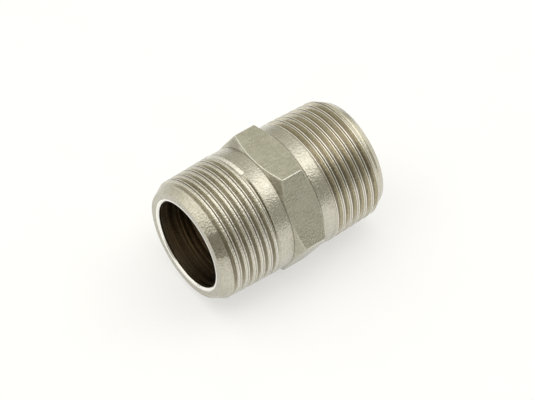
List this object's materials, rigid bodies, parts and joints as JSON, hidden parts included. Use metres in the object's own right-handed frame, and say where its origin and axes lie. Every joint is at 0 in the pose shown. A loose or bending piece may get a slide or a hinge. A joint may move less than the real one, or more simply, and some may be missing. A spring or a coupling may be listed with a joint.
{
  "type": "hex nipple",
  "caption": "Straight pipe nipple with a male taper thread on each end, plain necks and a central hexagon for a wrench, bored right through.",
  "frame": {"origin": "on the pipe axis, halfway between the two end faces; the hexagon stands 0.175 mm to the +X side of it", "axes": "+X along the pipe axis towards the right-hand thread end, +Z square to the hexagon's upper flat, so it lies on the flat facing -Z"},
  "size_m": [0.0402, 0.0308, 0.0266],
  "materials": {
    "thread_metal": "nickel plated, turned satin",
    "neck_metal": "nickel plated, fine turned satin",
    "hex_metal": "nickel plated, drawn bar satin"
  },
  "bodies": {
    "root": {"left_thread": "thread_metal", "left_neck": "neck_metal", "hex_body": "hex_metal", "right_neck": "neck_metal", "right_thread": "thread_metal"}
  },
  "joints": []
}
